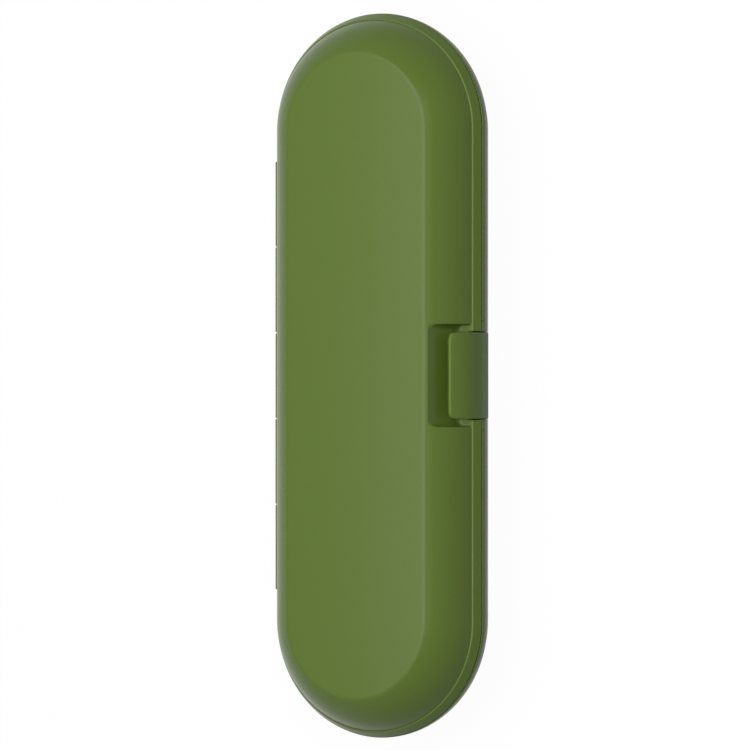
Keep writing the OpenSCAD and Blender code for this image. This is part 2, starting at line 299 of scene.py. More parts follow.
@dataclass(frozen=True)
class Ring:
    """Stations round a straight-sided oval: where each stands on the middle line, and which way it faces."""

    along: Array
    turn: Array

    @staticmethod
    def of(columns: Array, half: float, arc_steps: int, opened: float = 0.0) -> "Ring":
        """The oval's stations, anticlockwise from the latch's side.

        Args:
            columns: The places along the straight sides, rising, from -half to half.
            half: Half the length of the straight sides.
            arc_steps: The steps in each round end.
            opened: Half the width of an opening in the latch's side, where there are no stations.

        Returns:
            The ring.
        """
        bend = np.linspace(-90, 90, arc_steps + 1)[1:-1]
        low = columns[columns >= opened - 1e-9] if opened else columns
        last = columns[columns <= -opened + 1e-9] if opened else columns[:0]
        along = np.concatenate([low, np.full(bend.size, half), columns[::-1],
                                np.full(bend.size, -half), last])
        turn = np.concatenate([np.full(low.size, -90.0), bend, np.full(columns.size, 90.0), bend + 180,
                               np.full(last.size, 270.0)])
        return Ring(along, np.radians(turn))

    def carry(self, profile: Array, centre: tuple[float, float] = (0.0, 0.0)) -> Array:
        """Carries a profile of width and height round the oval.

        A point is centre + (place on the middle line, 0, height) + width * (cos turn, sin turn, 0).

        Args:
            profile: Rows of width and height.
            centre: The oval's centre.

        Returns:
            The grid, stations by profile points.
        """
        width, height = profile[None, :, 0], profile[None, :, 1]
        return np.stack([centre[0] + self.along[:, None] + width * np.cos(self.turn)[:, None],
                         centre[1] + width * np.sin(self.turn)[:, None],
                         np.broadcast_to(height, (self.along.size, profile.shape[0]))], axis=-1)


# Shells with windows


@dataclass(frozen=True)
class Step:
    """An end wall across a long side, where one section of a shell gives way to another.

    Going into the window the surface turns off the outer section by a quarter circle, runs down the
    wall, and turns onto the inner section by another.
    """

    place: float
    outer: int
    inner: int
    brow: float = 0.3
    foot: float = 0.3
    walls: int = 2
    inwards: int = 1
    bends: int = 4

    def columns(self) -> Array:
        """The step's columns as rows of: even place, true place, outer, inner, brow, wall and foot shares.

        Returns:
            One row a column, each with the radii of the brow and the foot at its end.
        """
        a = np.linspace(0, math.pi / 2, self.bends + 1)
        wall = np.linspace(0, 1, self.walls + 1)[1:-1]
        ones, none = np.ones(wall.size), np.zeros(wall.size)
        side = np.concatenate([self.brow * (1 - np.sin(a)), none, -self.foot * (1 - np.cos(a))])
        brow = np.concatenate([1 - np.cos(a), ones, np.ones(a.size)])
        run = np.concatenate([np.zeros(a.size), wall, np.ones(a.size)])
        foot = np.concatenate([np.zeros(a.size), none, np.sin(a)])
        count = side.size
        even = self.place + self.inwards * np.linspace(self.brow, -self.foot, count)
        rest = [np.full(count, value, float) for value in (self.outer, self.inner)]
        radii = [np.full(count, value, float) for value in (self.brow, self.foot)]
        return np.column_stack([even, self.place + self.inwards * side, *rest, brow, run, foot, *radii])


@dataclass(frozen=True)
class Side:
    """One long side of a shell: its steps, and which section lies beyond the outermost."""

    steps: tuple[Step, ...] = ()

    def section_at(self, place: float) -> int:
        """The section that holds at a plain place along the side."""
        for step in sorted(self.steps, key=lambda s: -s.place):
            beyond, within = (step.outer, step.inner) if step.inwards > 0 else (step.inner, step.outer)
            if place > step.place:
                return beyond
            below = within
        return below if self.steps else 0


@dataclass
class Shell:
    """A half shell: a profile carried round the case, with windows cut into its long sides."""

    half: float
    sections: list[Array]
    latch_side: Side
    hinge_side: Side
    spacing: float = 4.0
    arc_steps: int = 72
    half_columns: Array = field(init=False)

    def __post_init__(self) -> None:
        """Works out the columns of half a side: those of every step, guards beside them, and plain ones."""
        even = np.zeros(0)
        for step in self.latch_side.steps + self.hinge_side.steps:
            own = step.columns()[:, 0]
            even = np.concatenate([even, own, [own.min() - GUARD, own.max() + GUARD]])
        plain = np.arange(0, self.half + 1e-9, self.spacing)
        if even.size:
            spans = [(s.columns()[:, 0].min() - 0.4, s.columns()[:, 0].max() + 0.4)
                     for s in self.latch_side.steps + self.hinge_side.steps]
            keep = np.all([(plain < low) | (plain > high) for low, high in spans], axis=0)
            plain = plain[keep]
        self.half_columns = np.unique(np.round(np.concatenate([plain, even, [0.0, self.half]]), 6))

    def _recipe(self, side: Side) -> Array:
        """For each column of half a side, the row that Step.columns gives, or a plain one."""
        rows = np.zeros((self.half_columns.size, 9))
        rows[:, 0] = rows[:, 1] = self.half_columns
        rows[:, 7:] = 0.1
        for i, place in enumerate(self.half_columns):
            rows[i, 2] = rows[i, 3] = side.section_at(float(place))
        for step in side.steps:
            own = step.columns()
            index = np.searchsorted(self.half_columns, np.round(own[:, 0], 6) - 1e-7)
            rows[index] = own
        return rows

    def grid(self) -> Array:
        """The shell's grid: stations round the case by points of the profile.

        A point between two sections is outer + depth * (inner - outer) / distance, where depth runs
        through the brow's, the wall's and the foot's shares, and it slides along the side to lie on the wall.

        Returns:
            The grid of points.
        """
        profiles = np.stack(self.sections)
        sides = []
        for side in (self.latch_side, self.hinge_side):
            rows = self._recipe(side)
            outer = profiles[rows[:, 2].astype(int)]
            gap = profiles[rows[:, 3].astype(int)] - outer
            reach = np.linalg.norm(gap, axis=-1)
            brow, foot = rows[:, 7:8], rows[:, 8:9]
            share = np.clip(reach / (brow + foot), 0, 1)
            middle = np.maximum(reach - share * (brow + foot), 0)
            depth = rows[:, 4:5] * share * brow + rows[:, 5:6] * middle + rows[:, 6:7] * share * foot
            lead = np.where(reach > 1e-9, depth / np.maximum(reach, 1e-9), 0)
            place = rows[:, 0:1] + share * (rows[:, 1:2] - rows[:, 0:1])
            sides.append((place, outer + lead[..., None] * gap))
        (latch_x, latch_p), (hinge_x, hinge_p) = sides
        bend = np.radians(np.linspace(-90, 90, self.arc_steps + 1)[1:-1])
        width, height = profiles[0][:, 0], profiles[0][:, 1]

        def straight(place: Array, shape: Array, sign: float, mirror: float) -> Array:
            """Half a straight side, in the order of its columns."""
            return np.stack([mirror * place, sign * shape[..., 0], shape[..., 1]], axis=-1)

        def end(sign: float) -> Array:
            """A round end."""
            return np.stack([sign * (self.half + width * np.cos(bend)[:, None]),
                             sign * width * np.sin(bend)[:, None],
                             np.broadcast_to(height, (bend.size, height.size))], axis=-1)

        return np.concatenate([
            straight(latch_x, latch_p, -1, -1)[:0:-1], straight(latch_x, latch_p, -1, 1), end(1),
            straight(hinge_x, hinge_p, 1, 1)[:0:-1], straight(hinge_x, hinge_p, 1, -1), end(-1)])


def dress(piece: bpy.types.Object, body: Body, slot: Slot, material: bpy.types.Material,
          *nodes: str) -> bpy.types.Object:
    """Gives a piece its material and its body, and hides the CAD nodes that it stands for."""
    piece.data.materials.append(material)
    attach(piece, body.value)
    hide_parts(*nodes)
    return piece


@dataclass(frozen=True)
class Prism:
    """An outline of width and height carried along the case, with rounded ends and, if asked, a bore."""

    outline: Array
    length: float
    edge: float
    middle: float = 0.0
    bore: float = 0.0
    axis: tuple[float, float] = (0.0, 0.0)
    inner_columns: int = 1
    bends: int = 5

    def columns(self) -> tuple[Array, Array]:
        """The places of the columns along the case, and how far the outline is drawn in at each."""
        a = np.linspace(0, math.pi / 2, self.bends + 1)
        half = self.length / 2
        head = -half + self.edge * (1 - np.sin(a[::-1]))
        draw = self.edge * (1 - np.cos(a[::-1]))
        plain = np.linspace(-half + self.edge + GUARD, half - self.edge - GUARD, self.inner_columns + 1)
        place = np.concatenate([head, plain, -head[::-1]])
        return place + self.middle, np.concatenate([draw, np.zeros(plain.size), draw[::-1]])

    def add_to(self, surface: Surface, sign: float = 1.0, bend: Any = None) -> None:
        """Adds the prism to a surface.

        Args:
            surface: What it is added to.
            sign: 1 where widths run towards the hinge, -1 where they run towards the latch.
            bend: A function that moves the finished points, or None.
        """
        place, draw = self.columns()
        move = bend or (lambda points: points)

        def stood(x: float | Array, flat: Array) -> Array:
            """Points of the outline's plane, stood up at x."""
            along = np.broadcast_to(x, flat[..., 0].shape)
            return move(np.stack([along, sign * flat[..., 0], flat[..., 1]], -1))

        loops = np.stack([inset(self.outline, float(d)) for d in draw])
        surface.add_grid(stood(place[:, None], loops), wrap_columns=True)
        hole = arc(self.axis, self.bore, 0, 360, 41)[:-1]
        for k in (0, -1):
            points, faces = flat_faces([loops[k], hole] if self.bore else [loops[k]])
            outwards = (k == 0) == (sign < 0)
            surface.add(stood(float(place[k]), points), [f if outwards else f[::-1] for f in faces])
        if self.bore:
            tube = np.stack([hole, hole])
            ends = place[[-1, 0]]
            surface.add_grid(stood(ends[:, None], tube), wrap_columns=True)


@dataclass(frozen=True)
class Form:
    """The case's leading sizes, shared by its shells, its latch and its tray."""

    rim: float = 34.0
    half: float = 71.0
    rim_in: float = 30.7
    seam: float = 0.3
    face: float = 22.5
    lid_top: float = 15.0
    crown: float = 0.5
    lid_side: float = 22.0
    lid_centre: tuple[float, float] = (11.1612, -3.85287)
    band_top: float = 32.4
    band_high: float = 3.2
    foot: float = 32.0
    hinge_y: float = 34.0
    hinge_drop: float = 3.2
    barrel: float = 2.2
    latch_barrel: float = 2.1
    pitch: float = 25.0
    play: float = 0.2
    knuckles: int = 5
    knuckle_edge: float = 0.35
    bore: float = 1.05
    latch_y: float = 31.7
    latch_drop: float = 3.0
    notch: float = 12.75

    def side_angle(self, width: float, radius: float | None = None) -> float:
        """The angle, in degrees, at which the bowed side's circle, or one about its centre, has a width."""
        r = radius or self.lid_side
        return math.degrees(math.acos((width - self.lid_centre[0]) / r))

    def knuckle(self, outline: Array, place: int) -> Prism:
        """The hinge's knuckle with the given section, at a place in the row that is counted from 0."""
        middle = (place + 0.5) * self.pitch - self.pitch * self.knuckles / 2
        return Prism(outline, self.pitch - self.play, self.knuckle_edge, middle, self.bore,
                     (self.hinge_y, -self.hinge_drop))


@dataclass
class LidShell:
    """The lid: a crowned face, a bowed side, a sloped rim band, a finger recess and two hinge arms."""

    form: Form
    wall: float = 2.0
    crease: float = 2.0
    recess_y: float = 23.3
    recess_lean: float = 21.0
    recess_r: float = 2.0
    recess_half: float = 14.7
    recess_corner: float = 1.5
    fade_y: float = 17.0
    fade_x: tuple[float, float] = (4.0, 22.0)
    catch_y: float = 30.8856
    lip_room: float = 2.1
    boss_wall: float = 1.6
    boss_half: float = 16.3
    arm: float = 1.6

    def outer_start(self) -> float:
        """The width at which the windows' rows begin, just above the recess."""
        return self.brink()[0] - 0.45

    def brink(self) -> tuple[float, float]:
        """Where the recess's leaning back, from (recess_y, lid_top), comes out of the bowed side."""
        f, lean = self.form, math.radians(self.recess_lean)
        down = (math.sin(lean), -math.cos(lean))
        off = (self.recess_y - f.lid_centre[0], f.lid_top - f.lid_centre[1])
        b = off[0] * down[0] + off[1] * down[1]
        t = -b - math.sqrt(b * b - (off[0] ** 2 + off[1] ** 2 - f.lid_side ** 2))
        return self.recess_y + t * down[0], f.lid_top + t * down[1]

    def back_at(self, height: float | Array) -> float | Array:
        """The width of the recess's leaning back at a height."""
        return self.recess_y + (self.form.lid_top - height) * math.tan(math.radians(self.recess_lean))

    def sections(self) -> list[Array]:
        """The lid's four sections: plain, with the boss inside, with the recess, and with the notch too."""
        f = self.form
        top = f.lid_top + f.crown
        radius = (f.face ** 2 + f.crown ** 2) / (2 * f.crown)
        width = np.linspace(0, f.face, 14)
        crown = np.column_stack([width, top - radius + np.sqrt(radius ** 2 - width ** 2)])
        start = self.outer_start()
        shoulder = arc(f.lid_centre, f.lid_side, f.side_angle(f.face), f.side_angle(start), 4)
        head = rounded([crown, shoulder], [self.crease])

        def side(first: float, last: float, count: int) -> Array:
            """The bowed side between two widths."""
            return arc(f.lid_centre, f.lid_side, f.side_angle(first), f.side_angle(last), count)

        foot, shelf, rim, low = (f.foot, f.band_high), (f.band_top, f.band_high), (f.rim, f.seam), f.seam
        plain_mid, boss_mid = (32.3, low), (28.0, low)
        part = tuple(at_lengths(line(shelf, rim), np.array([0.7]))[0])
        edge = (f.rim - 0.9, low)
        upper_plain = rounded([side(start, f.foot, 18), line(foot, shelf), line(shelf, part)], [0.22, 0.3])
        lower_plain = rounded([line(part, rim), line(rim, edge)], [0.35])
        lean, high = math.radians(self.recess_lean), f.band_high + self.recess_r
        hollow_c = (float(self.back_at(high)) + self.recess_r / math.cos(lean), high)
        hollow = arc(hollow_c, self.recess_r, 180 + self.recess_lean, 270, 9)
        brink = self.brink()
        wall = line(brink, tuple(hollow[0]))
        back = [side(start, brink[0], 4), at_lengths(wall, np.linspace(0, lengths(wall)[-1], 9)), hollow]
        upper_recess = rounded([*back, line((hollow_c[0], f.band_high), shelf), line(shelf, part)],
                               [0.25, 0, 0, 0.3])
        catch, catch_part = (self.catch_y, f.band_high), (self.catch_y, part[1])
        catch_low, catch_edge = (self.catch_y, low), (self.catch_y - 0.9, low)
        upper_notch = rounded([*back, line((hollow_c[0], f.band_high), catch), line(catch, catch_part)],
                              [0.25, 0, 0, 0.35])
        lower_notch = rounded([line(catch_part, catch_low), line(catch_low, catch_edge)], [0.35])
        inner_r = f.lid_side - self.wall
        ceiling = f.lid_top - self.wall
        reach = f.lid_centre[0] + math.sqrt(inner_r ** 2 - (ceiling - f.lid_centre[1]) ** 2)
        ledge = f.lid_centre[0] + math.sqrt(inner_r ** 2 - (self.lip_room - f.lid_centre[1]) ** 2)
        rise = arc(f.lid_centre, inner_r, f.side_angle(ledge, inner_r), f.side_angle(reach, inner_r), 14)
        turn_in = (14.0, ceiling)
        under = (f.rim_in, self.lip_room)
        inner_plain = rounded([line(plain_mid, (f.rim_in, low)), line((f.rim_in, low), under),
                               line(under, (ledge, self.lip_room)), rise,
                               line((reach, ceiling), turn_in)], [0.3, 0.15, 0.15, 1.2])

        skin = self.boss_wall / math.cos(lean)
        foot_y, top_y = float(self.back_at(f.band_high)) - skin, float(self.back_at(ceiling)) - skin
        inner_boss = rounded([line(boss_mid, (foot_y, low)), line((foot_y, low), (foot_y, f.band_high)),
                              line((foot_y, f.band_high), (top_y, ceiling)), line((top_y, ceiling), turn_in)],
                             [0.35, 1.0, 0.8])
        tail = line(turn_in, (7.0, ceiling), (0.0, ceiling))
        parts = [matched([upper_plain, upper_plain, upper_recess, upper_notch]),
                 matched([lower_plain, lower_plain, lower_plain, lower_notch]),
                 matched([line(edge, plain_mid), line(edge, boss_mid), line(edge, boss_mid),
                          line(catch_edge, boss_mid)]),
                 matched([inner_plain, inner_boss, inner_boss, inner_boss])]
        return [np.vstack([head[:-1], *(each[:-1] for each in own), tail]) for own in zip(*parts)]

    def corner(self, grid: Array, last_row: int) -> Array:
        """Rounds the recess's two upper corners by sliding its end walls towards the middle near its back.

        The slide is R * (1 - sqrt(1 - (1 - d / R)^2)) at a distance d from the back wall, and it fades
        out over the plain surfaces on either side, where sliding changes nothing.

        Args:
            grid: The shell's grid.
            last_row: The last of the profile's rows that are outside.

        Returns:
            The grid with its corners rounded.
        """
        part = grid[:, :last_row]
        width, place = -part[..., 1], part[..., 0]
        r = self.recess_corner
        near = np.clip((width - self.back_at(part[..., 2])) / r, 0, 1)
        slide = 1 - np.sqrt(1 - (1 - near) ** 2)
        fade = np.clip((width - self.fade_y) / (self.recess_y - self.fade_y), 0, 1)
        slide = slide * fade * fade * (3 - 2 * fade)
        inside, outside = self.recess_half - 0.9, self.recess_half + 0.5
        first, last = self.fade_x
        grow = np.clip((np.abs(place) - first) / (inside - first), 0, 1)
        drop = np.clip((last - np.abs(place)) / (last - outside), 0, 1)
        part[..., 0] -= np.sign(place) * r * slide * np.minimum(grow, drop)
        return grid

    def arm_outline(self) -> Array:
        """A hinge arm in section: the barrel, and a web up to the band that it hangs from."""
        f = self.form
        axis, slope = (f.hinge_y, -f.hinge_drop), 29.0
        touch = (axis[0] + f.barrel * math.cos(math.radians(slope)),
                 axis[1] + f.barrel * math.sin(math.radians(slope)))
        run = (touch[0] - f.rim) / math.sin(math.radians(slope))
        top = touch[1] + run * math.cos(math.radians(slope))
        inner = f.hinge_y - self.arm
        low = math.degrees(math.acos(-self.arm / f.barrel))
        root = (inner, axis[1] + f.barrel * math.sin(math.radians(low)))
        return rounded([line(touch, (f.rim, top)), line((f.rim, top), (inner, top + self.arm)),
                        line((inner, top + self.arm), root), arc(axis, f.barrel, low, 360 + slope, 40)],
                       [0.5, 0.5, 0.3, 0], closed=True)

    def build(self) -> bpy.types.Object:
        """Makes the lid."""
        f = self.form
        steps = (Step(self.boss_half, 0, 1, 0.5, 0.4),
                 Step(self.recess_half, 1, 2, 0.5, 0.5, walls=9, bends=5),
                 Step(f.notch, 2, 3, 0.3, 0.2))
        sections = self.sections()
        shell = Shell(f.half, sections, Side(steps), Side())
        rim_row = int(np.argmax(sections[0][:, 0]))
        surface = Surface()
        surface.add_grid(self.corner(shell.grid(), rim_row), wrap_rows=True)
        lid = surface.build("lid_shell_skin")
        LOG.info("lid grid: %d points a profile", sections[0].shape[0])
        arms = Surface()
        for i in range(1, f.knuckles, 2):
            f.knuckle(self.arm_outline(), i).add_to(arms)
        return merge(lid, arms.build("lid_arms"))


def merge(first: bpy.types.Object, second: bpy.types.Object) -> bpy.types.Object:
    """Puts the second object's mesh into the first, and removes the second."""
    work = bmesh.new()
    work.from_mesh(first.data)
    work.from_mesh(second.data)
    work.to_mesh(first.data)
    work.free()
    bpy.data.objects.remove(second)
    return first


@dataclass
class BaseShell:
    """The base: a deep tub with a bowed band, the latch's pocket and the hinge's knuckles."""

    form: Form
    deep: float = 24.0
    wall: float = 2.0
    band: float = 4.2
    band_r: float = 9.0
    band_flat: float = 0.6
    side_r: float = 56.0
    centre: tuple[float, float] = (-21.297, 12.3597)
    ledge: tuple[float, float] = (29.5, -2.3)
    pocket: tuple[float, float] = (29.3, -5.4)
    boss: tuple[float, float] = (27.9, -6.8)
    boss_half: float = 15.75
    room_r: float = 2.5
    room_y: float = 32.1
    room_ends: tuple[float, float] = (12.4, 37.6)
    room_mid: float = 31.4
    pocket_mid: float = 28.6
    root: float = 31.4
    split: float = -8.0

    def side_angle(self, height: float, radius: float) -> float:
        """The angle at which a circle about the side's centre has a height."""
        return math.degrees(math.asin((height - self.centre[1]) / radius))

    def side(self, first: float, last: float, count: int, radius: float = 0.0) -> Array:
        """The bowed side, or its inner face, between two heights."""
        r = radius or self.side_r
        return arc(self.centre, r, self.side_angle(first, r), self.side_angle(last, r), count)

    def sections(self) -> list[Array]:
        """The base's four sections: plain, with the boss inside, with the pocket, and a knuckle's room."""
        f = self.form
        low = self.side(-self.deep, self.split, 16)
        head = rounded([line((0, -self.deep), (11, -self.deep), tuple(low[0])), low], [1.6])
        band_c = (f.rim - self.band_r, -self.band_flat)
        under = math.degrees(math.asin((self.band - self.band_flat) / self.band_r))
        foot_y = band_c[0] + self.band_r * math.cos(math.radians(under))
        side = self.side(self.split, -self.band, 6)
        bow = np.vstack([arc(band_c, self.band_r, -under, 0, 8), [(f.rim, 0.0)]])
        down = [side, line(tuple(side[-1]), (foot_y, -self.band)), bow]
        curves = [0.4, 0.45, 0.35]
        plain_mid, boss_mid = (32.35, 0.0), (30.5, 0.0)
        outer_plain = rounded([*down, line((f.rim, 0), plain_mid)], curves)
        outer_boss = rounded([*down, line((f.rim, 0), boss_mid)], curves)
        px, pz = self.pocket
        sill = self.side(self.split, pz, 5)
        outer_pocket = rounded([sill, line(tuple(sill[-1]), (px, pz)), line((px, pz), (px, 0)),
                                line((px, 0), (self.pocket_mid, 0))], [0.3, 0.3, 0.3])
        axis = (f.hinge_y, -f.hinge_drop)
        a = np.linspace(270, 180, 400)
        ring = arc(axis, self.room_r, 270, 180, 400)
        outside = np.hypot(ring[:, 0] - self.centre[0], ring[:, 1] - self.centre[1]) > self.side_r
        first = float(a[np.nonzero(~outside)[0][0]])
        last = 180 - math.degrees(math.acos((f.hinge_y - self.room_y) / self.room_r))
        sweep = arc(axis, self.room_r, first, last, 14)
        lead = self.side(self.split, float(sweep[0, 1]), 5)
        lead[-1] = sweep[0]
        outer_room = rounded([lead, sweep, line(tuple(sweep[-1]), (self.room_y, 0)),
                              line((self.room_y, 0), (self.room_mid, 0))], [0.2, 0.2, 0.3])
        inner_r = self.side_r - self.wall
        ly, lz = self.ledge
        turn = self.centre[1] - math.sqrt(inner_r ** 2 - (ly - self.centre[0]) ** 2)

        def inner(middle: tuple[float, float]) -> Array:
            """The inside under a plain rim: down to the ledge and past it."""
            return rounded([line(middle, (f.rim_in, 0)), line((f.rim_in, 0), (f.rim_in, lz)),
                            line((f.rim_in, lz), (ly, lz)), line((ly, lz), (ly, turn)),
                            self.side(turn, self.split, 5, inner_r)], [0.3, 0.2, 0.3, 1.0])

        by, bz = self.boss
        below = self.side(bz, self.split, 4, inner_r)

        def inner_boss(middle: tuple[float, float]) -> Array:
            """The inside over the boss that holds the latch's pin."""
            return rounded([line(middle, (by, 0)), line((by, 0), (by, bz)), line((by, bz), tuple(below[0])),
                            below], [0.3, 0.5, 0.3])

        outers = matched([outer_plain, outer_boss, outer_pocket, outer_room])
        inners = matched([inner(plain_mid), inner_boss(boss_mid), inner_boss((self.pocket_mid, 0.0)),
                          inner((self.room_mid, 0.0))])
        floor = -self.deep + self.wall
        bowl = self.side(self.split, floor, 14, inner_r)
        tail = rounded([bowl, line(tuple(bowl[-1]), (10, floor), (0, floor))], [1.0])
        return [np.vstack([head[:-1], o[:-1], i[:-1], tail]) for o, i in zip(outers, inners)]

    def knuckle_outline(self) -> Array:
        """A fixed knuckle in section: the barrel with a straight-sided root in the base's wall."""
        f = self.form
        axis, root = (f.hinge_y, -f.hinge_drop), self.root
        top, low = axis[1] + f.barrel, axis[1] - f.barrel
        return rounded([arc(axis, f.barrel, -90, 90, 26), line((axis[0], top), (root, top)),
                        line((root, top), (root, low)), line((root, low), (axis[0], low))],
                       [0, 0.3, 0.3, 0], closed=True)

    def build(self) -> bpy.types.Object:
        """Makes the base."""
        f = self.form
        low, high = self.room_ends
        latch_side = Side((Step(self.boss_half, 0, 1), Step(f.notch, 1, 2, walls=4)))
        hinge_side = Side((Step(high, 0, 3), Step(low, 0, 3, inwards=-1)))
        surface = Surface()
        surface.add_grid(Shell(f.half, self.sections(), latch_side, hinge_side).grid(), wrap_rows=True)
        base = surface.build("base_shell_skin")
        knuckles = Surface()
        for i in range(0, f.knuckles, 2):
            f.knuckle(self.knuckle_outline(), i).add_to(knuckles)
        return merge(base, knuckles.build("base_knuckles"))


@dataclass
class Latch:
    """The flip latch: a plate bowed in over the lid's side, its hook, and the barrel that it turns on."""

    form: Form
    width: float = 25.0
    thick: float = 1.9
    bow_r: float = 15.2
    bow: float = 50.0
    bow_low: float = 30.0
    centre: tuple[float, float] = (18.65, -0.943876)
    hook: tuple[float, float] = (29.7856, 3.5)
    hook_tip: float = 0.8
    hook_root: tuple[float, float] = (31.2564, 5.7)
    corner_r: float = 1.5
    pin: float = 2.0

    def outline(self) -> Array:
        """The latch in section, anticlockwise from the outermost point of its barrel."""
        f = self.form
        axis, centre = (f.latch_y, -f.latch_drop), self.centre
        inner_r = self.bow_r - self.thick
        barrel = f.latch_barrel
        out_y, in_y = f.latch_y + barrel, f.latch_y + barrel - self.thick
        out_low, in_low = (math.degrees(math.acos((y - centre[0]) / r))
                           for y, r in ((out_y, self.bow_r), (in_y, inner_r)))
        face = arc(centre, self.bow_r, out_low, self.bow, 20)
        tip = arc(centre, inner_r, self.bow, self.bow, 1)[0]
        hy, hz = self.hook
        slope = line(self.hook_root, (hy, hz + self.hook_tip))
        spots = at_lengths(slope, np.linspace(0, lengths(slope)[-1], 400))
        inside = np.hypot(spots[:, 0] - centre[0], spots[:, 1] - centre[1]) < inner_r
        meet = spots[np.nonzero(inside)[0][0]]
        top_in = arc(centre, inner_r, self.bow,
                     math.degrees(math.atan2(meet[1] - centre[1], meet[0] - centre[0])), 14)
        under_a = math.degrees(math.asin((hz - centre[1]) / inner_r))
        low_in = arc(centre, inner_r, under_a, in_low, 6)
        neck = (in_y, axis[1] + math.sqrt(barrel ** 2 - (in_y - axis[0]) ** 2))
        first = math.degrees(math.atan2(neck[1] - axis[1], neck[0] - axis[0]))
        return rounded([
            line((out_y, axis[1]), tuple(face[0])), face, line(tuple(face[-1]), tuple(tip)), top_in,
            line(tuple(top_in[-1]), (hy, hz + self.hook_tip)), line((hy, hz + self.hook_tip), (hy, hz)),
            line((hy, hz), tuple(low_in[0])), low_in, line(tuple(low_in[-1]), neck),
            arc(axis, barrel, first, 360, 40)],
            [4.0, 0.75, 0.4, 0.4, 0.2, 0.2, 0.3, 0.8, 0.25, 0], closed=True)

    def round_corners(self, points: Array) -> Array:
        """Turns the plate's end down about the bow's centre at its corners, by a quarter circle's drop."""
        y, z = -points[..., 1] - self.centre[0], points[..., 2] - self.centre[1]
        radius, angle = np.hypot(y, z), np.arctan2(z, y)
        past = np.clip(np.abs(points[..., 0]) - (self.width / 2 - self.corner_r), 0, self.corner_r)
        drop = self.corner_r - np.sqrt(self.corner_r ** 2 - past ** 2)
        top, low = math.radians(self.bow), math.radians(self.bow_low)
        turned = np.arcsin(math.sin(top) - drop / self.bow_r)
        share = np.clip((angle - low) / (top - low), 0, 1.05)
        angle = angle + share * (turned - top)
        return np.stack([points[..., 0], -(self.centre[0] + radius * np.cos(angle)),
                         self.centre[1] + radius * np.sin(angle)], axis=-1)

    def build(self) -> bpy.types.Object:
        """Makes the latch."""
        f = self.form
        surface = Surface()
        Prism(self.outline(), self.width, 0.5, 0, self.pin / 2 + 0.05, (f.latch_y, -f.latch_drop),
              inner_columns=16, bends=6).add_to(surface, -1, self.round_corners)
        return surface.build("latch_lever")


@dataclass(frozen=True)
class Channel:
    """A round-bottomed channel in the tray: where its axis lies, its radius and half its straight length."""

    x: float
    y: float
    radius: float
    half: float


@dataclass
class Tray:
    """The tray: one moulded skin with a trough, two pockets and a locating lip.

    The skin is a little thinner than the wall between two channels, so its two backs stay inside that wall.
    """

    form: Form
    thick: float = 1.05
    top: float = -1.0
    lip_high: float = 1.5
    lip_in: float = 29.2
    axis_z: float = -3.0
    notch: tuple[float, float] = (16.6, 27.6)
    edge: float = 0.38
    clear: float = 0.5
    trough: Channel = Channel(0.0, 12.7227, 15.0, 73.7791)
    pockets: tuple[Channel, ...] = (Channel(46.0, -11.4773, 8.0, 33.0), Channel(-46.0, -11.4773, 8.0, 33.0))

    def channel_profile(self, radius: float) -> Array:
        """A channel's profile, from the tray's top over its rounded edge, down, and round to the bottom."""
        bowl = arc((0.0, self.axis_z), radius, 0, -90, 18)
        return rounded([line((radius + self.clear, self.top), (radius, self.top)),
                        line((radius, self.top), (radius, self.axis_z)), bowl], [self.edge, 0])

    def lip_profile(self) -> Array:
        """The lip's inner face in profile, from the tray's top outwards and up."""
        start = self.lip_in - self.clear
        return rounded([line((start, self.top), (self.lip_in, self.top)),
                        line((self.lip_in, self.top), (self.lip_in, self.lip_high))], [self.edge])

    def build(self) -> bpy.types.Object:
        """Makes the tray's upper skin and gives it its thickness downwards."""
        f = self.form
        surface = Surface()
        holes = []
        for c in (self.trough, *self.pockets):
            columns = np.linspace(-c.half, c.half, 13)
            grid = Ring.of(columns, c.half, 40).carry(self.channel_profile(c.radius), (c.x, c.y))
            surface.add_grid(grid, wrap_rows=True)
            holes.append(grid[:, 0, :2])
        nx, ny = self.notch
        columns = np.unique(np.concatenate([np.linspace(-f.half, f.half, 25), [-nx, nx]]))
        lip = Ring.of(columns, f.half, 60, opened=nx).carry(self.lip_profile())
        surface.add(lip, grid_faces(lip.shape[0], lip.shape[1]))
        edge = np.vstack([lip[:, 0, :2], [(-nx, -ny), (nx, -ny)]])
        points, faces = flat_faces([edge, *holes])
        surface.add(np.column_stack([points, np.full(len(points), self.top)]), [f_[::-1] for f_ in faces])
        tray = surface.build("tray_insert", closed=False)
        work = bmesh.new()
        work.from_mesh(tray.data)
        bmesh.ops.recalc_face_normals(work, faces=work.faces)
        top_z = (self.top + LIFT) * MM
        flat = [face for face in work.faces if abs(face.calc_center_median().z - top_z) < 1e-7]
        if sum(face.normal.z * face.calc_area() for face in flat) < 0:
            bmesh.ops.reverse_faces(work, faces=work.faces)
        work.to_mesh(tray.data)
        work.free()
        skin = tray.modifiers.new("thickness", "SOLIDIFY")
        skin.thickness, skin.offset, skin.use_even_offset = self.thick * MM, -1.0, True
        soft = tray.modifiers.new("edges", "BEVEL")
        soft.width, soft.segments, soft.limit_method = 0.3 * MM, 3, "ANGLE"
        soft.angle_limit = math.radians(50)
        return tray


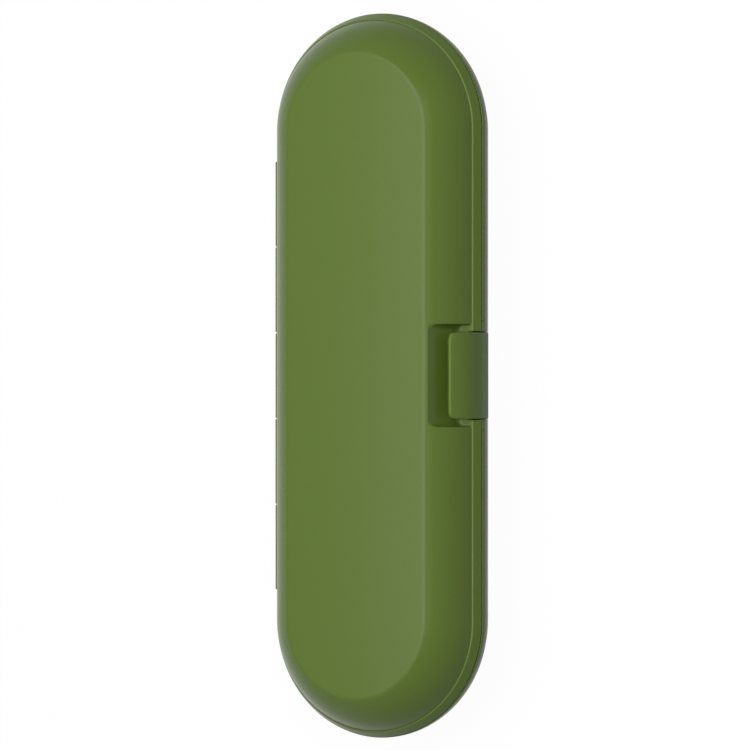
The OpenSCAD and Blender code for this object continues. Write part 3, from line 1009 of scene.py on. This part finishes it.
@dataclass(frozen=True)
class Lining:
    """A soft strip round the bottom of a channel, grooved along its length."""

    x: float
    y: float
    radius: float
    thick: float
    length: float
    axis_z: float = -3.0
    grooves: int = 3
    groove_depth: float = 0.22
    back: float = 0.02
    shrink: float = 0.3

    def build(self, name: str) -> bpy.types.Object:
        """Makes the strip: a rounded section of length and thickness, swept half round the channel's axis.

        A point is (x + s, y + (radius - t) * cos a, axis_z + (radius - t) * sin a), with a from -180 to 0
        degrees and (s, t) going round the section, which shrinks to its middle at both ends of the sweep.

        Args:
            name: The piece's name.

        Returns:
            The piece.
        """
        half, back = self.length / 2, self.back
        front = self.thick
        s = np.linspace(half, -half, 61)
        pitch = self.length / (self.grooves + 1)
        wave = np.cos(math.pi * (s / pitch + (self.grooves + 1) / 2)) ** 12
        inner = np.abs(s) < half - pitch / 2
        t = front - self.groove_depth * wave * inner
        top = np.column_stack([s, t])
        section = rounded([top, line((-half, front), (-half, back)), line((-half, back), (half, back)),
                           line((half, back), (half, front))], [0.35, 0.15, 0.15, 0.35], closed=True)
        turn, shrink = np.linspace(0, math.pi / 2, 6), self.shrink
        lead = shrink / self.radius
        between = np.linspace(lead, math.pi - lead, 40)[1:-1]
        angle = np.concatenate([lead * (1 - np.sin(turn[::-1])), between,
                                math.pi - lead * (1 - np.sin(turn))])
        draw = np.concatenate([shrink * (1 - np.cos(turn[::-1])), np.zeros(between.size),
                               shrink * (1 - np.cos(turn))])
        loops = np.stack([inset(section[::-1], d) for d in draw])
        reach = self.radius - loops[..., 1]
        grid = np.stack([self.x + loops[..., 0], self.y - reach * np.cos(angle)[:, None],
                         self.axis_z - reach * np.sin(angle)[:, None]], axis=-1)
        surface = Surface()
        surface.add_grid(grid, wrap_columns=True)
        for k in (0, -1):
            ring = list(range(grid.shape[1]))
            surface.add(grid[k], [ring if k else ring[::-1]])
        return surface.build(name)


@dataclass(frozen=True)
class LidPad:
    """A soft pad under the lid's ceiling, crowned towards the handle."""

    x: float
    y: float
    low: float = 11.2
    high: float = 13.0
    length: float = 34.0
    width: float = 14.0
    corner: float = 3.0
    swell: float = 0.35

    def build(self, name: str) -> bpy.types.Object:
        """Makes the pad: a rounded oblong drawn in towards a crowned face.

        At a share v of the way from the ceiling to the face's middle the outline is drawn in by the share
        (1 - cos(v * 90 degrees)) ^ 1.5 of its reach, and its drop follows sin(v * 90 degrees) ^ 0.5. Its
        foot is drawn in by the swell, which comes and goes with sin(2.2 * v * 180 degrees).

        Args:
            name: The piece's name.

        Returns:
            The piece.
        """
        hx, hy, r = self.length / 2, self.width / 2, self.corner
        outline = np.vstack([arc((sx * (hx - r), sy * (hy - r)), r, a, a + 90, 9)
                             for sx, sy, a in ((1, 1, 0), (-1, 1, 90), (-1, -1, 180), (1, -1, 270))])
        v = np.linspace(0, 1, 22)[:, None]
        thick = self.high - self.low
        bulge = self.swell * np.sin(math.pi * np.clip(v * 2.2, 0, 1))
        scale_in = (1 - np.cos(v * math.pi / 2)) ** 1.5

        def drawn_in(reach: Array) -> Array:
            """One coordinate of the outline at every share, closed to a point at the last."""
            way = np.sign(reach)
            return (reach * (1 - scale_in) - way * self.swell + way * bulge) * (1 - (v > 0.999))

        x, y = drawn_in(outline[None, :, 0]), drawn_in(outline[None, :, 1])
        z = self.high - thick * np.sin(v * math.pi / 2) ** 0.5 + 0 * x
        surface = Surface()
        surface.add_grid(np.stack([self.x + x, self.y + y, z], axis=-1), wrap_columns=True)
        foot = np.column_stack([self.x + x[0], self.y + y[0], z[0]])
        surface.add(foot, [list(range(outline.shape[0]))[::-1]])
        return surface.build(name)


@dataclass(frozen=True)
class Pin:
    """A drawn wire pin with rounded ends."""

    y: float
    z: float
    length: float
    radius: float = 1.0
    edge: float = 0.25

    def build(self, name: str) -> bpy.types.Object:
        """Makes the pin: a turned profile of place and radius, carried once round its axis."""
        a = np.radians(np.linspace(0, 90, 6))
        half = self.length / 2
        place = np.concatenate([[-half], -half + self.edge * (1 - np.sin(a[::-1])), [-half + 1, 0, half - 1],
                                half - self.edge * (1 - np.sin(a)), [half]])
        width = np.concatenate([[0], self.radius - self.edge * (1 - np.cos(a[::-1])), [self.radius] * 3,
                                self.radius - self.edge * (1 - np.cos(a)), [0]])
        turn = np.radians(np.linspace(0, 360, 33)[:-1])[:, None]
        grid = np.stack([np.broadcast_to(place, (32, place.size)), self.y + width * np.cos(turn),
                         self.z + width * np.sin(turn)], axis=-1)
        surface = Surface()
        surface.add_grid(grid, wrap_rows=True)
        return surface.build(name)


# Finishes


class Value:
    """A shader socket with arithmetic: an expression on values adds the Math nodes that work it out."""

    def __init__(self, shader: "Shader", socket: bpy.types.NodeSocket) -> None:
        """Keeps the socket and the shader it belongs to."""
        self.shader, self.socket = shader, socket

    def _math(self, kind: str, first: Any, second: Any) -> "Value":
        """One Math node."""
        return self.shader.node("ShaderNodeMath", {"operation": kind}, {0: first, 1: second})

    def __add__(self, other: Any) -> "Value":
        """The sum."""
        return self._math("ADD", self, other)

    __radd__ = __add__

    def __mul__(self, other: Any) -> "Value":
        """The product."""
        return self._math("MULTIPLY", self, other)

    __rmul__ = __mul__

    def __sub__(self, other: Any) -> "Value":
        """The difference."""
        return self._math("SUBTRACT", self, other)

    def __rsub__(self, other: Any) -> "Value":
        """The difference, the other way round."""
        return self._math("SUBTRACT", other, self)

    def most(self, other: Any) -> "Value":
        """The greater of the two."""
        return self._math("MAXIMUM", self, other)


class Shader:
    """A material's or the world's node tree."""

    def __init__(self, tree: bpy.types.NodeTree) -> None:
        """Takes an empty tree."""
        self.tree = tree
        tree.nodes.clear()

    def node(self, kind: str, settings: dict[str, Any], inputs: dict[Any, Any], output: Any = 0) -> Value:
        """Adds a node.

        Args:
            kind: Its type.
            settings: Its own settings, set first. A "stops" entry fills a colour ramp.
            inputs: A value or a Value for each socket, by name or number.
            output: The output that is wanted.

        Returns:
            That output.
        """
        made = self.tree.nodes.new(kind)
        for name, setting in settings.items():
            if name == "stops":
                ramp = made.color_ramp
                while len(ramp.elements) < len(setting):
                    ramp.elements.new(0.5)
                for element, (place, colour) in zip(ramp.elements, setting):
                    element.position, element.color = place, colour
            else:
                setattr(made, name, setting)
        for name, value in inputs.items():
            if isinstance(value, Value):
                self.tree.links.new(value.socket, made.inputs[name])
            else:
                made.inputs[name].default_value = value
        return Value(self, None if output is None else made.outputs[output])

    def finish(self, kind: str, shader: Value) -> None:
        """Ends the tree in an output node of the given kind."""
        self.node(kind, {}, {"Surface": shader}, None)

    def noise(self, scale: float, detail: float = 2.0, where: Value | None = None) -> Value:
        """A noise pattern on the object's coordinates, in features a metre."""
        place = where or self.node("ShaderNodeTexCoord", {}, {}, "Object")
        return self.node("ShaderNodeTexNoise", {}, {"Vector": place, "Scale": scale, "Detail": detail}, "Fac")

    def mix(self, share: Value, first: tuple, second: tuple) -> Value:
        """A colour between two."""
        return self.node("ShaderNodeMix", {"data_type": "RGBA"}, {0: share, 6: first, 7: second}, 2)

    def bump(self, height: Value, depth: float, strength: float, under: Value | None = None) -> Value:
        """A bump of the given depth in metres."""
        inputs: dict[Any, Any] = {"Height": height, "Distance": depth, "Strength": strength}
        if under:
            inputs["Normal"] = under
        return self.node("ShaderNodeBump", {}, inputs)


Colour = tuple[float, float, float]


@dataclass(frozen=True)
class Finish:
    """A surface with a fine grain: two close tones, a roughness that wanders, and two scales of bump."""

    name: str
    tone: Colour
    shade: Colour
    roughness: float
    wander: float
    tone_scale: float
    grain_scale: float
    grain_depth: float
    wave_scale: float
    wave_depth: float
    metallic: float = 0.0
    stretch: tuple[float, float, float] = (1.0, 1.0, 1.0)
    ior: float = 1.46

    def make(self) -> bpy.types.Material:
        """Makes the material."""
        material = bpy.data.materials.new(self.name)
        material.use_nodes = True
        s = Shader(material.node_tree)
        place = s.node("ShaderNodeTexCoord", {}, {}, "Object")
        drawn = s.node("ShaderNodeMapping", {"vector_type": "POINT"},
                       {"Vector": place, "Scale": self.stretch})
        cloud = s.noise(self.tone_scale, 3.0, place)
        fine = s.noise(self.grain_scale, 2.0, drawn)
        speck = s.noise(self.grain_scale * 2.3, 1.0, drawn)
        share = cloud * 0.7 + fine * 0.3
        colour = s.mix(share, (*self.tone, 1.0), (*self.shade, 1.0))
        rough = (cloud - 0.5) * self.wander + (speck - 0.5) * self.wander + self.roughness
        wave = s.bump(s.noise(self.wave_scale, 1.0, place), self.wave_depth, 1.0)
        grain = s.bump(fine * 0.6 + speck * 0.4, self.grain_depth, 1.0, wave)
        shaded = s.node("ShaderNodeBsdfPrincipled", {}, {
            "Base Color": colour, "Roughness": rough, "Metallic": self.metallic, "IOR": self.ior,
            "Normal": grain})
        s.finish("ShaderNodeOutputMaterial", shaded)
        return material


SHELL = Finish("satin_olive_plastic", (0.115, 0.180, 0.026), (0.107, 0.170, 0.024), 0.28, 0.04, 55.0,
               2600.0, 0.000012, 24.0, 0.00006, ior=1.3)
TRAY = Finish("matte_tray_plastic", (0.082, 0.118, 0.036), (0.074, 0.108, 0.032), 0.52, 0.05, 60.0,
              2400.0, 0.00002, 30.0, 0.00006)
RUBBER = Finish("soft_grey_rubber", (0.043, 0.047, 0.041), (0.037, 0.041, 0.036), 0.68, 0.06, 90.0,
                3000.0, 0.00003, 60.0, 0.00004)
# The pins are steel, but their near-black tone is painted shade: it keeps the pins seen in the hinge's and
# the latch's gaps as dark as the shade there.
STEEL = Finish("steel_with_painted_shade", (0.072, 0.074, 0.077), (0.060, 0.062, 0.065), 0.36, 0.12, 200.0,
               4000.0, 0.000006, 100.0, 0.00001, metallic=1.0, stretch=(0.04, 1.0, 1.0))


# Stage, light and camera


@dataclass(frozen=True)
class Lamp:
    """A soft rectangular lamp that points at the case."""

    name: str
    place: tuple[float, float, float]
    size: tuple[float, float]
    radiance: float
    aim: tuple[float, float, float] = (0.0, 0.0, 0.02)

    def build(self) -> bpy.types.Object:
        """Makes the lamp, with a power of radiance * area * pi."""
        data = bpy.data.lights.new(self.name, "AREA")
        data.shape, data.size, data.size_y = "RECTANGLE", *self.size
        data.energy = self.radiance * self.size[0] * self.size[1] * math.pi
        lamp = bpy.data.objects.new(self.name, data)
        bpy.context.scene.collection.objects.link(lamp)
        lamp.location = self.place
        lamp.rotation_euler = (Vector(self.aim) - Vector(self.place)).to_track_quat("-Z", "Y").to_euler()
        return lamp


@dataclass(frozen=True)
class Studio:
    """The floor, the world and the lamps."""

    floor_half: float = 2.5
    ambient: float = 0.10
    floor_tone: float = 0.20
    white_share: float = 0.80
    glow: float = 1.205
    lamps: tuple[Lamp, ...] = (
        Lamp("overhead", (0.2, -0.16, 1.1), (1.0, 1.3), 3.35, (0.2, -0.16, 0.02)),
    )

    def build(self) -> bpy.types.Object:
        """Makes the stage and lights, and returns the floor."""
        mesh = bpy.data.meshes.new("floor")
        h = self.floor_half
        mesh.from_pydata([(-h, -h, 0), (h, -h, 0), (h, h, 0), (-h, h, 0)], [], [(0, 1, 2, 3)])
        floor = bpy.data.objects.new("floor", mesh)
        bpy.context.scene.collection.objects.link(floor)
        material = bpy.data.materials.new("pale_floor")
        material.use_nodes = True
        s = Shader(material.node_tree)
        seen = self._seen(s)
        matte = s.node("ShaderNodeBsdfDiffuse", {}, {"Color": (*[self.floor_tone] * 3, 1.0)})
        glow = s.node("ShaderNodeEmission", {}, {"Color": (1.0, 1.0, 1.0, 1.0), "Strength": self.glow})
        both = s.node("ShaderNodeMixShader", {}, {0: seen * self.white_share, 1: matte, 2: glow})
        s.finish("ShaderNodeOutputMaterial", both)
        mesh.materials.append(material)
        world = bpy.data.worlds.new("studio")
        bpy.context.scene.world = world
        world.use_nodes = True
        w = Shader(world.node_tree)
        seen = self._seen(w)
        dim = w.node("ShaderNodeBackground", {}, {"Color": (1.0, 1.0, 1.0, 1.0), "Strength": self.ambient})
        bright = w.node("ShaderNodeBackground", {}, {"Color": (1.0, 1.0, 1.0, 1.0), "Strength": 1.0})
        both = w.node("ShaderNodeMixShader", {}, {0: seen, 1: dim, 2: bright})
        w.finish("ShaderNodeOutputWorld", both)
        for lamp in self.lamps:
            lamp.build()
        return floor

    @staticmethod
    def _seen(s: Shader) -> Value:
        """1 for a ray from the camera, off a gloss or through glass, and 0 for light that falls on things."""
        camera, glossy, through = (s.node("ShaderNodeLightPath", {}, {}, f"Is {kind} Ray")
                                   for kind in ("Camera", "Glossy", "Transmission"))
        return camera.most(glossy).most(through)


@dataclass(frozen=True)
class View:
    """The photograph's view: from over the latch's side, almost without perspective."""

    tilt: float = 28.8
    scale: float = 3.449
    middle: tuple[float, float] = (379.9, 375.6)
    frame: float = 750.0
    distance: float = 3.0
    sensor: float = 36.0

    def build(self) -> bpy.types.Object:
        """Makes the camera, with the image's upper edge towards +X."""
        t = math.radians(self.tilt)
        right = Vector((0, -math.cos(t), -math.sin(t)))
        up = Vector((1, 0, 0))
        back = right.cross(up)
        shift = (self.frame / 2 - self.middle[0]) / self.scale * MM
        rise = (self.middle[1] - self.frame / 2) / self.scale * MM
        aim = Vector((0, 0, LIFT * MM)) + right * shift + up * rise
        data = bpy.data.cameras.new("camera")
        data.sensor_width = self.sensor
        data.lens = self.sensor * self.distance / (self.frame / self.scale * MM)
        data.clip_end = 20
        camera = bpy.data.objects.new("camera", data)
        bpy.context.scene.collection.objects.link(camera)
        camera.matrix_world = Matrix((right, up, back)).transposed().to_4x4()
        camera.location = aim + back * self.distance
        bpy.context.scene.camera = camera
        return camera


@dataclass
class TravelCase:
    """The whole case: its finishes and its pieces in order."""

    form: Form = field(default_factory=Form)
    hinge_wire: float = 124.0
    latch_wire: float = 29.5
    saddle_x: float = 48.0
    saddle: tuple[float, float] = (0.9, 16.0)
    collar_x: float = 19.5
    collar: tuple[float, float] = (0.8, 9.0)

    def build(self) -> list[bpy.types.Object]:
        """Builds and dresses each piece."""
        f = self.form
        shell, tray, rubber, steel = (finish.make() for finish in (SHELL, TRAY, RUBBER, STEEL))
        insert = Tray(f)
        pieces = [
            dress(BaseShell(f).build(), Body.BASE, Slot.SHELL, shell, "base_shell"),
            dress(LidShell(f).build(), Body.LID, Slot.SHELL, shell, "lid_shell"),
            dress(Latch(f).build(), Body.LATCH, Slot.SHELL, shell, "latch"),
            dress(insert.build(), Body.BASE, Slot.TRAY, tray, "base_tray"),
            dress(Pin(f.hinge_y, -f.hinge_drop, self.hinge_wire).build("hinge_wire"), Body.BASE, Slot.STEEL,
                  steel, "hinge_pin"),
            dress(Pin(-f.latch_y, -f.latch_drop, self.latch_wire).build("latch_wire"), Body.BASE, Slot.STEEL,
                  steel, "latch_pin"),
        ]
        trough, pocket = insert.trough, insert.pockets[0]
        for side, end in ((1, "upper"), (-1, "lower")):
            saddle = Lining(side * self.saddle_x, trough.y, trough.radius, *self.saddle)
            collar = Lining(side * self.collar_x, pocket.y, pocket.radius, *self.collar, grooves=2)
            cradle, neck = saddle.build(f"handle_saddle_{end}"), collar.build(f"brush_collar_{end}")
            pad = LidPad(side * self.saddle_x, trough.y).build(f"lid_cushion_{end}")
            pieces.append(dress(cradle, Body.BASE, Slot.RUBBER, rubber, f"saddle_{end}"))
            pieces.append(dress(neck, Body.BASE, Slot.RUBBER, rubber, f"head_collar_{end}"))
            pieces.append(dress(pad, Body.LID, Slot.RUBBER, rubber, f"lid_pad_{end}"))
        return pieces


def main() -> None:
    """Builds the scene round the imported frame."""
    logging.basicConfig(level=logging.INFO, format="%(name)s: %(message)s")
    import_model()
    View().build()
    Studio().build()
    for piece in TravelCase().build():
        LOG.info("%s: %d vertices, %d faces, on %s", piece.name, len(piece.data.vertices),
                 len(piece.data.polygons), piece["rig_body"])
    bpy.context.scene.view_settings.view_transform = "Standard"


if __name__ == "__main__":
    main()
